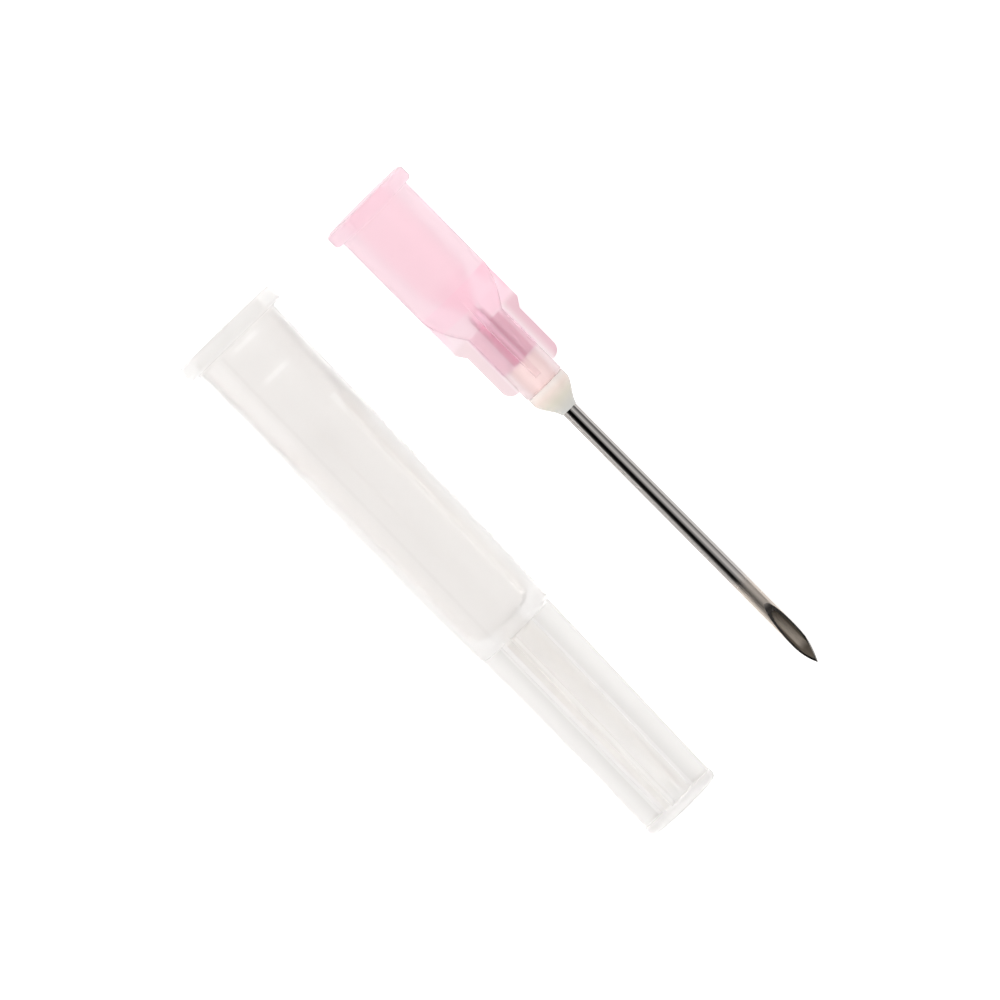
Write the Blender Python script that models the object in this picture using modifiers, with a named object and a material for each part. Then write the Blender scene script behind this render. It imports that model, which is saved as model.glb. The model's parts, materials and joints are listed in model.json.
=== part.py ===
"""Hypodermic needle lying beside the protective sheath that was pulled off it.

Four pieces: a moulded hub with a tapered socket for a syringe, a steel cannula ground to a
three-facet point, the adhesive that holds the two together, and the moulded sheath.
Each piece is modelled upright, with its own axis on +Z and its open end at Z = 0. An empty
then lays it down along +X. Units are metres, +Z is up and the set rests on Z = 0.
"""

import math

import bmesh
import bpy
from mathutils import Euler, Matrix, Vector

MM = 0.001

# Cannula
CANNULA_DIAMETER = 1.27 * MM
CANNULA_BORE = 0.94 * MM
CANNULA_REACH = 29.2 * MM  # from the hub's nose to the point
BEVEL_ANGLE = math.radians(11.3)  # first grind, from the axis
BEVEL_OVERSHOOT = 0.3 * MM  # the side grinds take this much off the first grind's own tip
LANCET_ANGLE = math.radians(20.0)  # the two side grinds, from the axis
LANCET_TURN = math.radians(40.0)  # and how far round they are turned, each way
BEVEL_ROLL = math.radians(-12.0)  # how far the point is turned in the hub

# Hub, from its open end to its nose
SOCKET_MOUTH = 4.3 * MM  # diameter of the conical socket at its open end
SOCKET_TAPER = 0.06  # loss of diameter for each unit of depth
SOCKET_WALL = 1.1 * MM
SOCKET_CHAMFER = 0.2 * MM
SOCKET_DEPTH = 8.6 * MM
SOCKET_FLOOR = 1.0 * MM  # from the bottom of the socket to the outer shoulder
SHOULDER_LENGTH = 3.3 * MM
SHOULDER_BULGE = 0.22 * MM  # how far its middle stands outside a straight cone
FUNNEL_LENGTH = 2.6 * MM
STOP_THICKNESS = 0.4 * MM  # the lip that the cannula's rear end meets
LUG_SPAN = 7.7 * MM
FLANGE_FLATS = 6.6 * MM
FLANGE_THICKNESS = 1.2 * MM
FLANGE_ROUND = 0.3 * MM
FIN_THICKNESS = 0.5 * MM
REAR_FIN_LENGTH = 3.45 * MM
FIN_RECESS = 0.05 * MM  # the rear fins stand this far inside the socket's outer wall
FIN_STEP_LENGTH = 0.75 * MM
FRONT_FIN_HEIGHT = 0.96 * MM
FRONT_FIN_LENGTH = 4.45 * MM
FRONT_FIN_ROUND = 0.85 * MM
NOSE_LENGTH = 0.9 * MM
NOSE_ROUND = 0.15 * MM
CORE_WALL = 0.5 * MM
HUB_ROLL = math.radians(-3.0)

# Adhesive
GLUE_WIDTH = 0.6 * MM  # between the cannula and the wall of the well
WELL_DEPTH = 2.55 * MM
BEAD_LENGTH = 2.6 * MM
BEAD_SHOULDER = 0.7 * MM
BEAD_LIP = 0.06 * MM  # thickness of the bead's thin front edge

# Sheath, from its mouth to its closed end
SHEATH_WALL = 0.51 * MM
SHEATH_FLANGE_WIDTH = 0.815 * MM
SHEATH_FLANGE_THICKNESS = 1.33 * MM
SHEATH_FLANGE_ROUND = 0.35 * MM
LEAD_IN_DEPTH = 4.7 * MM
LEAD_IN_STEP = 0.15 * MM
MOUTH_CHAMFER = 0.12 * MM
TUBE_DRAFT = 0.1 * MM  # loss of radius along the straight stretch
TUBE_CONE_LOSS = 0.2 * MM
TUBE_CONE_LENGTH = 4.9 * MM
TUBE_END_WALL = 1.1 * MM
TUBE_END_ROUND = 0.6 * MM
TUBE_FUNNEL_LENGTH = 1.2 * MM
GRIP_WALL = 0.72 * MM
VANE_LENGTH = 17.2 * MM  # the stretch with four outer vanes
VANE_THICKNESS = 0.55 * MM
VANE_STEP = 0.08 * MM
VANE_DRAFT = 0.2 * MM
END_DISC_THICKNESS = 0.8 * MM
END_DISC_LIP = 0.02 * MM
END_DISC_ROUND = 0.45 * MM
SLEEVE_WALL = 0.6 * MM
SLEEVE_DRAFT = 0.12 * MM
SLEEVE_CLEARANCE = 0.4 * MM  # round the cannula
POINT_CLEARANCE = 0.75 * MM  # past the cannula's point
RIB_WIDTH = 1.0 * MM
RIB_HEIGHT = 0.85 * MM
RIB_RAMP = 2.1 * MM
RIB_SETBACK = 0.5 * MM
SHEATH_ROLL = math.radians(16.0)

# Fits
GLUE_GAP = 0.03 * MM
SLIDE_FIT = 0.08 * MM  # between the hub and the sheath's bore
OVERLAP = 0.3 * MM  # how deep a joined rib or fin starts in the wall that carries it

# How the set lies
SHEATH_SPACING = 13.92 * MM  # from the hub's mouth to the sheath's, across the axis
SHEATH_SETBACK = 0.635 * MM  # and along it
SHEATH_YAW = math.radians(-0.96)

# Weights, in grams for each cubic centimetre
PLASTIC_DENSITY = 0.9
STEEL_DENSITY = 7.9
ADHESIVE_DENSITY = 1.2

# How round the round faces are
TURNED_SEGMENTS = 48
CANNULA_SEGMENTS = 32
CORNER_STEPS = 4
FIN_COUNT = 4

# Sizes that follow from those above: hub and cannula
CANNULA_RADIUS = CANNULA_DIAMETER / 2
SOCKET_RADIUS = SOCKET_MOUTH / 2
HUB_RADIUS = SOCKET_RADIUS + SOCKET_WALL
WELL_RADIUS = CANNULA_RADIUS + GLUE_WIDTH
CORE_RADIUS = WELL_RADIUS + CORE_WALL
FRONT_FIN_RADIUS = CORE_RADIUS + FRONT_FIN_HEIGHT
REAR_FIN_RADIUS = HUB_RADIUS - FIN_RECESS
CHANNEL_RADIUS = CANNULA_RADIUS + GLUE_GAP
FUNNEL_END_RADIUS = CANNULA_BORE / 2
TUBE_END = SOCKET_DEPTH + SOCKET_FLOOR
FIN_STEP = TUBE_END + REAR_FIN_LENGTH
FIN_STEP_END = FIN_STEP + FIN_STEP_LENGTH
FIN_END = FIN_STEP_END + FRONT_FIN_LENGTH
NOSE_END = FIN_END + NOSE_LENGTH
WELL_FLOOR = NOSE_END - WELL_DEPTH
FUNNEL_END = SOCKET_DEPTH + FUNNEL_LENGTH
CANNULA_REAR = FUNNEL_END + STOP_THICKNESS
POINT = NOSE_END + CANNULA_REACH

# Sizes that follow from those above: sheath, measured from its mouth
SHEATH_BORE_RADIUS = HUB_RADIUS + SLIDE_FIT
SHEATH_RADIUS = SHEATH_BORE_RADIUS + SHEATH_WALL
RIB_START = TUBE_END - FLANGE_THICKNESS + RIB_SETBACK
GRIP_START = FIN_STEP - FLANGE_THICKNESS + SLIDE_FIT
SHEATH_BORE_END = POINT - FLANGE_THICKNESS + POINT_CLEARANCE
SLEEVE_BORE_RADIUS = CANNULA_RADIUS + SLEEVE_CLEARANCE
SHEATH_LENGTH = SHEATH_BORE_END + SLEEVE_WALL + END_DISC_THICKNESS
SHEATH_TUBE_END = SHEATH_LENGTH - END_DISC_THICKNESS - VANE_LENGTH
CONE_START = SHEATH_TUBE_END - TUBE_CONE_LENGTH
CONE_RADIUS = SHEATH_RADIUS - TUBE_DRAFT
TUBE_END_RADIUS = CONE_RADIUS - TUBE_CONE_LOSS
VANE_RADIUS = TUBE_END_RADIUS - VANE_STEP
VANE_TIP_RADIUS = VANE_RADIUS - VANE_DRAFT
END_DISC_RADIUS = VANE_TIP_RADIUS + END_DISC_LIP
SLEEVE_RADIUS = SLEEVE_BORE_RADIUS + SLEEVE_WALL


def clear_scene():
    """Removes what is in the open file and returns the collections for parts and cutters."""
    for old in list(bpy.data.objects):
        bpy.data.objects.remove(old, do_unlink=True)
    made = []
    for name in ("hypodermic_needle", "cutters"):
        collection = bpy.data.collections.new(name)
        bpy.context.scene.collection.children.link(collection)
        made.append(collection)
    return made


def material(name, colour, roughness, metallic=0.0, transmission=0.0):
    """A Principled material for one piece."""
    made = bpy.data.materials.new(name)
    made.use_nodes = True
    shader = made.node_tree.nodes["Principled BSDF"]
    shader.inputs["Base Color"].default_value = (*colour, 1.0)
    shader.inputs["Roughness"].default_value = roughness
    shader.inputs["Metallic"].default_value = metallic
    shader.inputs["Transmission Weight"].default_value = transmission
    made.diffuse_color = (*colour, 1.0)
    return made


def corner(radius_at, height_at, size, start, end):
    """Points of a round corner in a profile, about a centre at (radius, height)."""
    points = []
    for step in range(CORNER_STEPS + 1):
        angle = math.radians(start + (end - start) * step / CORNER_STEPS)
        points.append((radius_at + size * math.cos(angle), height_at + size * math.sin(angle)))
    return points


def add_object(name, mesh, collection):
    """An object for this mesh, linked to the collection."""
    made = bpy.data.objects.new(name, mesh)
    collection.objects.link(made)
    return made


def turned(name, profile, segments, collection):
    """A ring-shaped solid: the closed profile of (radius, height) points, turned about +Z.

    The profile runs up its inner side and down its outer side.
    """
    mesh = bpy.data.meshes.new(name)
    vertices = [(radius, 0.0, height) for radius, height in profile]
    edges = [(i, (i + 1) % len(profile)) for i in range(len(profile))]
    mesh.from_pydata(vertices, edges, [])
    made = add_object(name, mesh, collection)
    screw = made.modifiers.new("turn", "SCREW")
    screw.axis = "Z"
    screw.angle = 2 * math.pi
    screw.steps = segments
    screw.render_steps = segments
    screw.use_merge_vertices = True
    screw.merge_threshold = 0.00001 * MM
    screw.use_smooth_shade = True
    return made


def plate(name, outline, thickness, turn, collection):
    """A flat plate whose outline of (radius, height) points stands beside +Z, turned about it."""
    curve = bpy.data.curves.new(name, "CURVE")
    curve.dimensions = "2D"
    curve.fill_mode = "BOTH"
    curve.extrude = thickness / 2
    spline = curve.splines.new("POLY")
    spline.points.add(len(outline) - 1)
    for point, (radius, height) in zip(spline.points, outline):
        point.co = (radius, height, 0.0, 1.0)
    spline.use_cyclic_u = True
    drawn = add_object(name + "_outline", curve, collection)
    drawn.matrix_world = Matrix.Rotation(turn, 4, "Z") @ Matrix.Rotation(math.pi / 2, 4, "X")
    depsgraph = bpy.context.evaluated_depsgraph_get()
    mesh = bpy.data.meshes.new_from_object(drawn.evaluated_get(depsgraph))
    shape = bmesh.new()
    shape.from_mesh(mesh)
    bmesh.ops.remove_doubles(shape, verts=shape.verts, dist=0.0001 * MM)
    bmesh.ops.recalc_face_normals(shape, faces=shape.faces)
    shape.to_mesh(mesh)
    shape.free()
    made = add_object(name, mesh, collection)
    made.matrix_world = drawn.matrix_world.copy()
    bpy.data.objects.remove(drawn)
    return as_cutter(made)


def block(name, size, matrix, collection):
    """A box of this size, centred on the matrix."""
    mesh = bpy.data.meshes.new(name)
    shape = bmesh.new()
    bmesh.ops.create_cube(shape, size=1.0, matrix=Matrix.Diagonal((*size, 1.0)))
    shape.to_mesh(mesh)
    shape.free()
    made = add_object(name, mesh, collection)
    made.matrix_world = matrix
    return as_cutter(made)


def as_cutter(made):
    """Marks an object as one that only shapes another."""
    made.hide_render = True
    made.display_type = "WIRE"
    return made


def combine(target, tool, operation):
    """Joins the tool to the target, or cuts it away."""
    boolean = target.modifiers.new(tool.name, "BOOLEAN")
    boolean.operation = operation
    boolean.object = tool
    boolean.solver = "EXACT"


def hub_profile():
    """The hub's section: socket, funnel, stop, channel and well, and the flange and core outside."""
    socket_floor_radius = SOCKET_RADIUS - SOCKET_DEPTH * SOCKET_TAPER / 2
    lug_radius = LUG_SPAN / 2
    inside = [
        (SOCKET_RADIUS + SOCKET_CHAMFER, 0.0),
        (SOCKET_RADIUS, SOCKET_CHAMFER),
        (socket_floor_radius, SOCKET_DEPTH),
        (FUNNEL_END_RADIUS, FUNNEL_END),
        (FUNNEL_END_RADIUS, CANNULA_REAR),
        (CHANNEL_RADIUS, CANNULA_REAR),
        (CHANNEL_RADIUS, WELL_FLOOR),
        (WELL_RADIUS, WELL_FLOOR),
        (WELL_RADIUS, NOSE_END),
    ]
    nose = corner(CORE_RADIUS - NOSE_ROUND, NOSE_END - NOSE_ROUND, NOSE_ROUND, 90, 0)
    shoulder_middle = (CORE_RADIUS + HUB_RADIUS) / 2 + SHOULDER_BULGE
    shoulder = [
        (CORE_RADIUS, TUBE_END + SHOULDER_LENGTH),
        (shoulder_middle, TUBE_END + SHOULDER_LENGTH / 2),
        (HUB_RADIUS, TUBE_END),
        (HUB_RADIUS, FLANGE_THICKNESS),
    ]
    flange_inset = lug_radius - FLANGE_ROUND
    flange = corner(flange_inset, FLANGE_THICKNESS - FLANGE_ROUND, FLANGE_ROUND, 90, 0)
    flange += corner(flange_inset, FLANGE_ROUND, FLANGE_ROUND, 0, -90)
    return inside + nose + shoulder + flange


def hub_fin_outline():
    """One fin: a tall rear stretch behind the socket, a sloped step and a low front stretch."""
    root = CORE_RADIUS - CORE_WALL / 2
    buried_start = TUBE_END - OVERLAP
    buried_root = (CORE_RADIUS + REAR_FIN_RADIUS) / 2
    front = corner(
        FRONT_FIN_RADIUS - FRONT_FIN_ROUND, FIN_END - FRONT_FIN_ROUND, FRONT_FIN_ROUND, 0, 90
    )
    return [
        (root, TUBE_END + SHOULDER_LENGTH),
        (buried_root, buried_start),
        (REAR_FIN_RADIUS, buried_start),
        (REAR_FIN_RADIUS, FIN_STEP),
        (FRONT_FIN_RADIUS, FIN_STEP_END),
        *front,
        (root, FIN_END),
    ]


def make_hub(parts, cutters):
    """The moulded hub: turned body, four stepped fins, and a round flange cut to two lugs."""
    hub = turned("hub", hub_profile(), TURNED_SEGMENTS, parts)
    for number in range(FIN_COUNT):
        turn = 2 * math.pi * number / FIN_COUNT
        fin = plate(f"hub_fin_{number}", hub_fin_outline(), FIN_THICKNESS, turn, cutters)
        combine(hub, fin, "UNION")
    depth = LUG_SPAN
    for side in (-1, 1):
        place = Matrix.Translation((0.0, side * (FLANGE_FLATS + depth) / 2, 0.0))
        flat = block(f"flange_flat_{side}", (2 * LUG_SPAN, depth, 4 * FLANGE_THICKNESS), place, cutters)
        combine(hub, flat, "DIFFERENCE")
    return hub


def grind(name, tip, angle, turn, collection):
    """A block whose flat face is the plane of one grind. The plane passes through the tip."""
    size = 4 * CANNULA_REACH
    slope = Matrix.Rotation(turn, 4, "Z") @ Matrix.Rotation(angle, 4, "X")
    outside = Matrix.Translation((0.0, size / 2, 0.0))
    return block(name, (size, size, size), Matrix.Translation(tip) @ slope @ outside, collection)


def make_cannula(parts, cutters):
    """The steel tube, ground once across and then once at each side of its point."""
    bore = CANNULA_BORE / 2
    rear = CANNULA_REAR + GLUE_GAP
    front = POINT + BEVEL_OVERSHOOT
    profile = [(bore, rear), (bore, front), (CANNULA_RADIUS, front), (CANNULA_RADIUS, rear)]
    cannula = turned("cannula", profile, CANNULA_SEGMENTS, parts)
    half_facet = math.pi / CANNULA_SEGMENTS
    flat_radius = CANNULA_RADIUS * math.cos(half_facet)
    cannula.data.transform(Matrix.Rotation(half_facet, 4, "Z"))
    tip = Vector((0.0, -flat_radius, POINT))
    first_tip = tip + Vector((0.0, 0.0, BEVEL_OVERSHOOT))
    combine(cannula, grind("first_grind", first_tip, BEVEL_ANGLE, 0.0, cutters), "DIFFERENCE")
    for side in (-1, 1):
        name = f"lancet_grind_{side}"
        combine(cannula, grind(name, tip, LANCET_ANGLE, side * LANCET_TURN, cutters), "DIFFERENCE")
    return cannula


def make_adhesive(parts):
    """The cured adhesive: a plug in the hub's well and a bead that thins out on the cannula."""
    inner = CANNULA_RADIUS + GLUE_GAP
    plug = WELL_RADIUS - GLUE_GAP
    shoulder = CORE_RADIUS - GLUE_GAP
    bead_start = NOSE_END + GLUE_GAP
    bead_end = NOSE_END + BEAD_LENGTH
    lip = inner + BEAD_LIP
    slope_start = NOSE_END + BEAD_SHOULDER
    slope = []
    steps = 3 * CORNER_STEPS
    for step in range(steps + 1):
        along = step / steps
        fall = (1 + math.cos(math.pi * along)) / 2
        straight = 1 - along
        blend = (fall + straight) / 2
        height = slope_start + (bead_end - slope_start) * along
        slope.append((lip + (shoulder - lip) * blend, height))
    profile = [(inner, WELL_FLOOR + GLUE_GAP), (inner, bead_end)]
    profile += reversed(slope)
    profile += [(shoulder, bead_start), (plug, bead_start), (plug, WELL_FLOOR + GLUE_GAP)]
    return turned("adhesive", profile, TURNED_SEGMENTS, parts)


def sheath_outer_radius(height):
    """Radius of the sheath's tube at this height above its mouth."""
    if height <= CONE_START:
        return SHEATH_RADIUS - TUBE_DRAFT * height / CONE_START
    return CONE_RADIUS - TUBE_CONE_LOSS * (height - CONE_START) / TUBE_CONE_LENGTH


def sheath_profile():
    """The sheath's section: stepped bore inside, and flange, tube, sleeve and end disc outside."""
    lead_in = SHEATH_BORE_RADIUS + LEAD_IN_STEP
    grip_radius = sheath_outer_radius(GRIP_START) - GRIP_WALL
    funnel_start = SHEATH_TUBE_END - TUBE_END_WALL - TUBE_FUNNEL_LENGTH
    funnel_radius = sheath_outer_radius(funnel_start) - GRIP_WALL
    funnel_end = funnel_start + TUBE_FUNNEL_LENGTH
    bore_tip_radius = SLEEVE_BORE_RADIUS - SLEEVE_DRAFT
    inside = [
        (lead_in + MOUTH_CHAMFER, 0.0),
        (lead_in, MOUTH_CHAMFER),
        (lead_in, LEAD_IN_DEPTH),
        (SHEATH_BORE_RADIUS, LEAD_IN_DEPTH + LEAD_IN_STEP),
        (SHEATH_BORE_RADIUS, GRIP_START),
        (grip_radius, GRIP_START + SHEATH_BORE_RADIUS - grip_radius),
        (funnel_radius, funnel_start),
        (SLEEVE_BORE_RADIUS, funnel_end),
        (bore_tip_radius, SHEATH_BORE_END - bore_tip_radius),
    ]
    inside += corner(0.0, SHEATH_BORE_END - bore_tip_radius, bore_tip_radius, 22.5, 90)
    rim = END_DISC_RADIUS - END_DISC_ROUND
    end = [(0.0, SHEATH_LENGTH)]
    end += corner(rim, SHEATH_LENGTH - END_DISC_ROUND, END_DISC_ROUND, 90, 0)
    disc_back = SHEATH_LENGTH - END_DISC_THICKNESS
    sleeve = [
        (END_DISC_RADIUS, disc_back),
        (SLEEVE_RADIUS - SLEEVE_DRAFT, disc_back),
        (SLEEVE_RADIUS, SHEATH_TUBE_END),
    ]
    round_radius = TUBE_END_RADIUS - TUBE_END_ROUND
    tube_end = corner(round_radius, SHEATH_TUBE_END - TUBE_END_ROUND, TUBE_END_ROUND, 90, 0)
    tube = [
        (CONE_RADIUS, CONE_START),
        (sheath_outer_radius(SHEATH_FLANGE_THICKNESS), SHEATH_FLANGE_THICKNESS),
    ]
    inset = SHEATH_RADIUS + SHEATH_FLANGE_WIDTH - SHEATH_FLANGE_ROUND
    upper = SHEATH_FLANGE_THICKNESS - SHEATH_FLANGE_ROUND
    flange = corner(inset, upper, SHEATH_FLANGE_ROUND, 90, 0)
    flange += corner(inset, SHEATH_FLANGE_ROUND, SHEATH_FLANGE_ROUND, 0, -90)
    return inside + end + sleeve + tube_end + tube + flange


def vane_outline():
    """One outer vane, from the end of the tube to the end disc, with its root in the sleeve."""
    root = SLEEVE_RADIUS - SLEEVE_DRAFT - SLEEVE_WALL / 3
    start = SHEATH_TUBE_END - (TUBE_END_ROUND + TUBE_END_WALL) / 2
    end = SHEATH_LENGTH - END_DISC_THICKNESS / 2
    return [(root, start), (VANE_RADIUS, start), (VANE_TIP_RADIUS, end), (root, end)]


def rib_outline():
    """One inner rib: a ramp behind the hub's socket, then level to the end of the tube."""
    end = SHEATH_TUBE_END - TUBE_END_WALL / 2
    top = SHEATH_BORE_RADIUS - RIB_HEIGHT
    rooted = [(sheath_outer_radius(z) - SHEATH_WALL / 2, z) for z in (RIB_START, CONE_START, end)]
    return [*rooted, (top, end), (top, RIB_START + RIB_RAMP), (SHEATH_BORE_RADIUS, RIB_START)]


def make_sheath(parts, cutters):
    """The moulded sheath: flanged tube, narrow sleeve with four outer vanes, four inner ribs."""
    sheath = turned("sheath", sheath_profile(), TURNED_SEGMENTS, parts)
    for number in range(FIN_COUNT):
        turn = 2 * math.pi * number / FIN_COUNT
        vane = plate(f"sheath_vane_{number}", vane_outline(), VANE_THICKNESS, turn, cutters)
        combine(sheath, vane, "UNION")
        rib = plate(f"sheath_rib_{number}", rib_outline(), RIB_WIDTH, turn, cutters)
        combine(sheath, rib, "UNION")
    return sheath


def balance_point(weights):
    """Distance from the open end to the centre of mass of these pieces, along their +Z.

    The weights hold each piece's density.
    """
    bpy.context.view_layer.update()
    depsgraph = bpy.context.evaluated_depsgraph_get()
    mass = 0.0
    moment = 0.0
    for piece, density in weights.items():
        mesh = piece.evaluated_get(depsgraph).data
        mesh.calc_loop_triangles()
        for triangle in mesh.loop_triangles:
            a, b, c = (mesh.vertices[index].co for index in triangle.vertices)
            share = density * a.dot(b.cross(c)) / 6
            mass += share
            moment += share * (a.z + b.z + c.z) / 4
    return moment / mass


def resting_tilt(outline, balance):
    """Tilt of a piece that lies on two points of its outline, one each side of its balance.

    The outline holds (distance along the axis, radius) pairs. A straight edge laid along them
    touches the pair that leaves every other point on the same side.
    """
    behind = [point for point in outline if point[0] <= balance]
    ahead = [point for point in outline if point[0] > balance]
    best = None
    for rear in behind:
        for front in ahead:
            slope = (rear[1] - front[1]) / (front[0] - rear[0])
            height = rear[1] + slope * (rear[0] - balance)
            if best is None or height > best[0]:
                best = (height, slope)
    return math.atan(best[1])


def lay_down(name, pieces, rolls, tilt, yaw, place):
    """An empty that carries the pieces and lays their +Z along +X, tilted down by the tilt."""
    holder = bpy.data.objects.new(name, None)
    bpy.context.scene.collection.objects.link(holder)
    along_x = Euler((math.pi / 2, 0.0, math.pi / 2)).to_matrix().to_4x4()
    turned_down = Euler((0.0, tilt, yaw)).to_matrix().to_4x4()
    holder.matrix_world = Matrix.Translation(place) @ turned_down @ along_x
    for piece, roll in zip(pieces, rolls):
        piece.parent = holder
        piece.rotation_euler.z = roll
    return holder


def carry_cutters(pieces):
    """Parents each piece's cutters to it, so that they move with the piece they shape."""
    for piece in pieces:
        for modifier in piece.modifiers:
            if modifier.type == "BOOLEAN":
                modifier.object.parent = piece


def corners_of(pieces):
    """Lowest and highest corner of the evaluated pieces, in the world."""
    bpy.context.view_layer.update()
    depsgraph = bpy.context.evaluated_depsgraph_get()
    points = []
    for piece in pieces:
        shown = piece.evaluated_get(depsgraph)
        points += [shown.matrix_world @ vertex.co for vertex in shown.data.vertices]
    low = Vector(min(point[axis] for point in points) for axis in range(3))
    high = Vector(max(point[axis] for point in points) for axis in range(3))
    return low, high


def set_on_floor(holder, pieces):
    """Raises or lowers a holder until its pieces just touch Z = 0."""
    low, _ = corners_of(pieces)
    holder.location.z -= low.z


def build():
    """Makes the four pieces, lays them down and centres the set over the origin."""
    parts, cutters = clear_scene()
    hub = make_hub(parts, cutters)
    cannula = make_cannula(parts, cutters)
    adhesive = make_adhesive(parts)
    sheath = make_sheath(parts, cutters)
    looks = {
        hub: material("pink_plastic", (0.93, 0.62, 0.68), 0.25, transmission=0.6),
        cannula: material("ground_steel", (0.56, 0.55, 0.53), 0.18, metallic=1.0),
        adhesive: material("cured_adhesive", (0.83, 0.82, 0.68), 0.3, transmission=0.2),
        sheath: material("clear_plastic", (0.88, 0.87, 0.86), 0.3, transmission=0.7),
    }
    for piece, look in looks.items():
        piece.data.materials.append(look)
    carry_cutters((hub, cannula, sheath))

    flats = FLANGE_FLATS / 2
    needle_outline = [
        (0.0, flats),
        (FLANGE_THICKNESS, flats),
        (TUBE_END, HUB_RADIUS),
        (FIN_STEP, REAR_FIN_RADIUS),
        (FIN_END - FRONT_FIN_ROUND, FRONT_FIN_RADIUS),
        (POINT, CANNULA_RADIUS),
    ]
    flange_radius = SHEATH_RADIUS + SHEATH_FLANGE_WIDTH
    sheath_outline = [
        (SHEATH_FLANGE_ROUND, flange_radius),
        (SHEATH_FLANGE_THICKNESS - SHEATH_FLANGE_ROUND, flange_radius),
        (CONE_START, CONE_RADIUS),
        (SHEATH_LENGTH - END_DISC_ROUND, END_DISC_RADIUS),
    ]
    needle = {hub: PLASTIC_DENSITY, cannula: STEEL_DENSITY, adhesive: ADHESIVE_DENSITY}
    rolls = (HUB_ROLL, BEVEL_ROLL, 0.0)
    tilt = resting_tilt(needle_outline, balance_point(needle))
    needle_holder = lay_down("needle_holder", needle, rolls, tilt, 0.0, Vector())
    tilt = resting_tilt(sheath_outline, balance_point({sheath: PLASTIC_DENSITY}))
    rolls = (SHEATH_ROLL,)
    shift = Vector((-SHEATH_SETBACK, -SHEATH_SPACING, 0.0))
    sheath_holder = lay_down("sheath_holder", (sheath,), rolls, tilt, SHEATH_YAW, shift)
    set_on_floor(needle_holder, needle)
    set_on_floor(sheath_holder, (sheath,))

    low, high = corners_of((*needle, sheath))
    centre = (low + high) / 2
    for holder in (needle_holder, sheath_holder):
        holder.location.x -= centre.x
        holder.location.y -= centre.y


build()
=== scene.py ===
"""Looks of a hypodermic needle that lies beside the protective sheath pulled off it.

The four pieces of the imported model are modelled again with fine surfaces, in the same places, and
are given their finishes. Piece sizes are in millimetres along the piece's own axis, which starts
at its open end. The studio's sizes are in metres.
"""

import json
import logging
import math
from collections.abc import Callable, Iterable
from dataclasses import dataclass
from enum import Enum

import bmesh
import bpy
from mathutils import Euler, Matrix, Vector

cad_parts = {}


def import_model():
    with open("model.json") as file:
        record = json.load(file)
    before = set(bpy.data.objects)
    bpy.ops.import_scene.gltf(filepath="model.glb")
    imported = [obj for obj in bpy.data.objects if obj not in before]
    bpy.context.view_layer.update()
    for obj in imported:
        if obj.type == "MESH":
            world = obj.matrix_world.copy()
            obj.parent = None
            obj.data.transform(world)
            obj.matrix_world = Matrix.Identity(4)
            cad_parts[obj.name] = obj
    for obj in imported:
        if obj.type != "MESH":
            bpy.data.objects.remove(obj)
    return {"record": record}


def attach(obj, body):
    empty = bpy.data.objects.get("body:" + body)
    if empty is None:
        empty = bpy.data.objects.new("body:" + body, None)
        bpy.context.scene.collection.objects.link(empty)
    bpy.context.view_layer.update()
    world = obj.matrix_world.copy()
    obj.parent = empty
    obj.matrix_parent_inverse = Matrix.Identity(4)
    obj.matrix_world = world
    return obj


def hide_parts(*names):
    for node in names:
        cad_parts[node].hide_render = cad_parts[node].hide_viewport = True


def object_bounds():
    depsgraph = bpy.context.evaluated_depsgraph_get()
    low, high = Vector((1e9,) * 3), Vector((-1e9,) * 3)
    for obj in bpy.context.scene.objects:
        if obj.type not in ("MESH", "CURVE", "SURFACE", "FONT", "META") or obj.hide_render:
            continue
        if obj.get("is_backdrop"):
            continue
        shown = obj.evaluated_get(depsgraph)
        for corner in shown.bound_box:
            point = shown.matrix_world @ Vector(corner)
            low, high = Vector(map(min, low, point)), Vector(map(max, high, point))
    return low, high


MM = 0.001
MERGE_DISTANCE = 0.0005  # millimetres
NOISE_RANGE = (0.3, 0.7)  # what a noise texture mostly fills
SHARE = (0.0, 1.0)

log = logging.getLogger("needle")

Point = tuple[float, float]
Station = tuple[float, float, float]
Colour = tuple[float, float, float]
Stop = tuple[float, Colour]
Box = list[list[float]]
Object = bpy.types.Object
Socket = bpy.types.NodeSocket
Value = Socket | Colour | Vector | Euler | float
Sockets = dict[str | int, Value]


class Join(Enum):
    """How a tool changes the piece that it is used on."""

    ADD = "UNION"
    CUT = "DIFFERENCE"


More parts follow.
